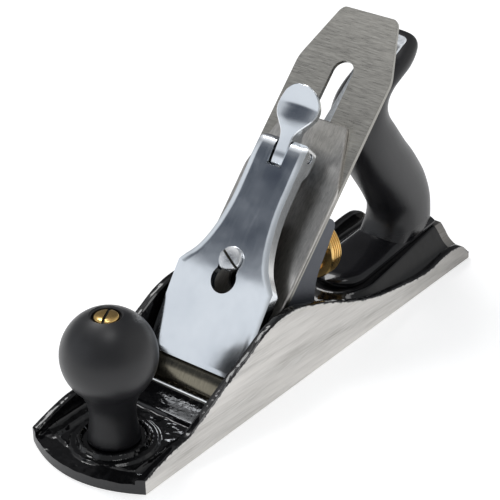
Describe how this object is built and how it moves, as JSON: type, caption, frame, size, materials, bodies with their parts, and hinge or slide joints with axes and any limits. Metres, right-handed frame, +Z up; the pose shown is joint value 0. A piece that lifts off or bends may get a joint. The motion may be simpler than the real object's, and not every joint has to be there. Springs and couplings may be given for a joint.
{
  "type": "hand plane",
  "caption": "Bench smoothing plane: cast body with ground cheeks, sliding frog, bedded iron and cap iron under a cam-locked lever cap, ball knob and black tote.",
  "frame": {"origin": "middle of the sole's length and width, on the underside of the sole", "axes": "+X towards the toe, the cutting direction; +Y towards the left cheek; +Z up"},
  "size_m": [0.245, 0.062, 0.1324],
  "materials": {
    "casting": "gloss black inside, ground bare metal on the sole and cheeks",
    "black_plastic": "satin",
    "frog_paint": "satin",
    "ground_steel": "fine brushed",
    "steel": "satin",
    "bright_plating": "polished",
    "brass": "turned, polished"
  },
  "bodies": {
    "plane_body": {"body_casting": "casting", "front_knob": "black_plastic", "knob_stud": "steel", "knob_nut": "brass", "tote": "black_plastic", "tote_rod": "steel", "tote_nut": "brass", "frog_screw_left": "steel", "frog_screw_right": "steel", "frog_washer_left": "steel", "frog_washer_right": "steel"},
    "frog_body": {"frog": "frog_paint", "frog_clip": "steel", "frog_clip_screw": "steel", "depth_stud": "steel", "y_lever_pin": "steel", "lateral_rivet": "steel", "lever_cap_screw": "steel"},
    "frog_adjuster": {"frog_adjust_screw": "steel"},
    "wheel": {"depth_wheel": "brass"},
    "yoke": {"y_lever": "steel"},
    "lateral": {"lateral_lever": "steel"},
    "roller": {"lateral_roller": "steel"},
    "cap": {"lever_cap": "bright_plating", "lever_cap_spring": "steel", "spring_rivet": "steel", "cam_rivet": "steel"},
    "cam": {"cam_lever": "bright_plating"},
    "iron_pack": {"iron": "ground_steel", "cap_iron": "ground_steel", "cap_iron_screw": "steel"}
  },
  "joints": [
    {"name": "frog_slide", "type": "slide", "parent": "plane_body", "child": "frog_body", "axis": [1, 0, 0], "range_m": [-0.0008, 0.0008]},
    {"name": "frog_screw_turn", "type": "hinge", "parent": "frog_body", "child": "frog_adjuster", "pos_m": [-0.0135, 0, 0.0086], "axis": [1, 0, 0], "range_deg": [-362, 362]},
    {"name": "depth_wheel_turn", "type": "hinge", "parent": "frog_body", "child": "wheel", "pos_m": [-0.0378, 0, 0.0345], "axis": [1, 0, 0], "range_deg": [-541, 541]},
    {"name": "yoke_tilt", "type": "hinge", "parent": "frog_body", "child": "yoke", "pos_m": [-0.01425, 0, 0.04808], "axis": [0, 1, 0], "range_deg": [-6.6, 6.6]},
    {"name": "lever_cap_sway", "type": "hinge", "parent": "frog_body", "child": "cap", "pos_m": [0.01368, 0, 0.04844], "axis": [0.7071, 0, 0.7071], "range_deg": [-0.69, 1.56]},
    {"name": "iron_slide", "type": "slide", "parent": "cap", "child": "iron_pack", "axis": [0.7071, 0, -0.7071], "range_m": [-0.0015, 0.0015]},
    {"name": "lateral_swing", "type": "hinge", "parent": "frog_body", "child": "lateral", "pos_m": [-0.01447, 0, 0.0606], "axis": [0.7071, 0, 0.7071], "range_deg": [-4, 9]},
    {"name": "roller_spin", "type": "hinge", "parent": "lateral", "child": "roller", "pos_m": [-0.01734, 0.00066, 0.06616], "axis": [0.7071, 0, 0.7071], "continuous": true},
    {"name": "cam_lock", "type": "hinge", "parent": "cap", "child": "cam", "pos_m": [-0.01977, 0, 0.08924], "axis": [0, 1, 0], "range_deg": [0, 85]}
  ],
  "couplings": [
    {"joint": "frog_screw_turn", "follows": "frog_slide", "rad_per_m": 7854},
    {"joint": "depth_wheel_turn", "follows": "iron_slide", "rad_per_m": 6283.2},
    {"joint": "yoke_tilt", "follows": "iron_slide", "rad_per_m": 75.28},
    {"joint": "lateral_swing", "follows": "lever_cap_sway", "ratio": 5.75}
  ]
}
